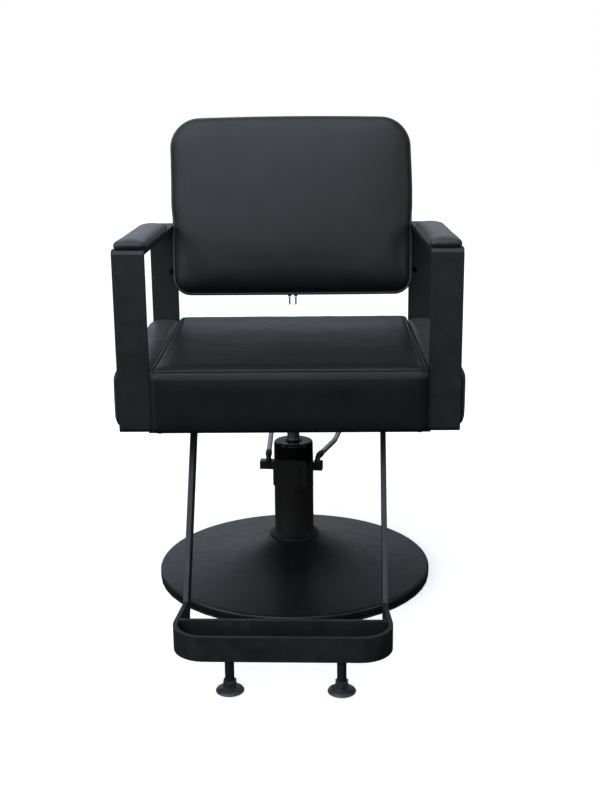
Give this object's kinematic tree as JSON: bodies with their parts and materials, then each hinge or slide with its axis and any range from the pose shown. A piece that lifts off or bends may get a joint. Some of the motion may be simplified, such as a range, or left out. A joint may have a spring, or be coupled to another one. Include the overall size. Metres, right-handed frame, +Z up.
{
  "type": "hairdressing chair",
  "caption": "Salon styling chair: padded seat and leaning backrest, flat-bar arm loops with pads, loop footrest on hangers, foot-pumped lift on a round bell base.",
  "frame": {"origin": "on the floor, on the pump axis, at the centre of the base plate's underside", "axes": "+Z up along the pump axis, -Y towards the front where the sitter's feet are, +X to the right seen from the front"},
  "size_m": [0.666, 0.8974, 0.9888],
  "materials": {
    "leatherette": "satin",
    "powder_coat": "satin",
    "base_paint": "satin",
    "gloss_black": "gloss",
    "steel": "satin",
    "chrome": "polished",
    "zinc": "satin",
    "rubber": "matte",
    "plywood": "matte"
  },
  "bodies": {
    "base": {"base_plate": "powder_coat", "base_floor_ring": "rubber", "base_cover": "base_paint", "column_collar": "rubber", "pump_casing": "powder_coat", "pump_bolt_1": "zinc", "pump_bolt_2": "zinc", "pump_bolt_3": "zinc", "main_cylinder": "steel", "pump_head": "powder_coat", "plunger_barrel": "powder_coat", "plunger_spring": "steel", "pump_cap": "gloss_black", "rod_seal": "rubber"},
    "lift": {"piston_rod": "steel", "piston": "rubber"},
    "pedal": {"pedal_shaft": "powder_coat", "pedal_arm_left": "chrome", "pedal_arm_right": "chrome", "pedal_collar_left": "rubber", "pedal_collar_right": "rubber", "pedal_bar": "chrome", "pedal_sleeve": "rubber"},
    "pump_plunger": {"plunger": "steel"},
    "seat": {"seat_plate": "powder_coat", "seat_bolt_1": "zinc", "seat_bolt_2": "zinc", "seat_bolt_3": "zinc", "seat_bolt_4": "zinc", "seat_board": "plywood", "seat_cushion": "leatherette", "side_panel_left": "leatherette", "side_panel_right": "leatherette", "arm_frame_left": "powder_coat", "arm_frame_right": "powder_coat", "arm_bolt_front_left": "zinc", "arm_bolt_front_right": "zinc", "arm_bolt_rear_left": "zinc", "arm_bolt_rear_right": "zinc", "arm_pad_left": "leatherette", "arm_pad_right": "leatherette", "backrest_cushion": "leatherette", "backrest_board": "plywood", "back_bracket_left": "powder_coat", "back_bracket_right": "powder_coat", "back_bolt_left": "gloss_black", "back_bolt_right": "gloss_black", "footrest_bar": "powder_coat", "footrest_crossbar": "powder_coat", "footrest_hanger_left": "powder_coat", "footrest_hanger_right": "powder_coat", "hanger_bolt_left": "zinc", "hanger_bolt_right": "zinc"},
    "glide_left": {"glide_stem_left": "steel", "glide_pad_left": "rubber"},
    "glide_right": {"glide_stem_right": "steel", "glide_pad_right": "rubber"},
    "zip_left": {"zip_pull_left": "zinc"},
    "zip_right": {"zip_pull_right": "zinc"}
  },
  "joints": [
    {"name": "seat_lift", "type": "slide", "parent": "base", "child": "lift", "axis": [0, 0, 1], "range_m": [0, 0.15]},
    {"name": "seat_swivel", "type": "hinge", "parent": "lift", "child": "seat", "pos_m": [0, 0, 0.38], "axis": [0, 0, 1], "continuous": true},
    {"name": "pedal_press", "type": "hinge", "parent": "base", "child": "pedal", "pos_m": [0.0034, 0.02981, 0.236], "axis": [-0.9936, 0.1132, 0], "range_deg": [0, 22], "stiffness_Nm_per_rad": 14, "springref_deg": -31.51},
    {"name": "plunger_stroke", "type": "slide", "parent": "base", "child": "pump_plunger", "axis": [0, 0, -1], "range_m": [0, 0.0125], "deforming": ["plunger_spring"]},
    {"name": "glide_left_screw", "type": "slide", "parent": "seat", "child": "glide_left", "axis": [0, 0, 1], "range_m": [0, 0.015]},
    {"name": "glide_right_screw", "type": "slide", "parent": "seat", "child": "glide_right", "axis": [0, 0, 1], "range_m": [0, 0.015]},
    {"name": "zip_left_swing", "type": "hinge", "parent": "seat", "child": "zip_left", "pos_m": [-0.0068, 0.1015, 0.603], "axis": [1, 0, 0], "range_deg": [-40, 40]},
    {"name": "zip_right_swing", "type": "hinge", "parent": "seat", "child": "zip_right", "pos_m": [0.0068, 0.1015, 0.603], "axis": [1, 0, 0], "range_deg": [-40, 40]}
  ],
  "couplings": [
    {"joint": "plunger_stroke", "follows": "pedal_press", "m_per_rad": 0.0322}
  ]
}
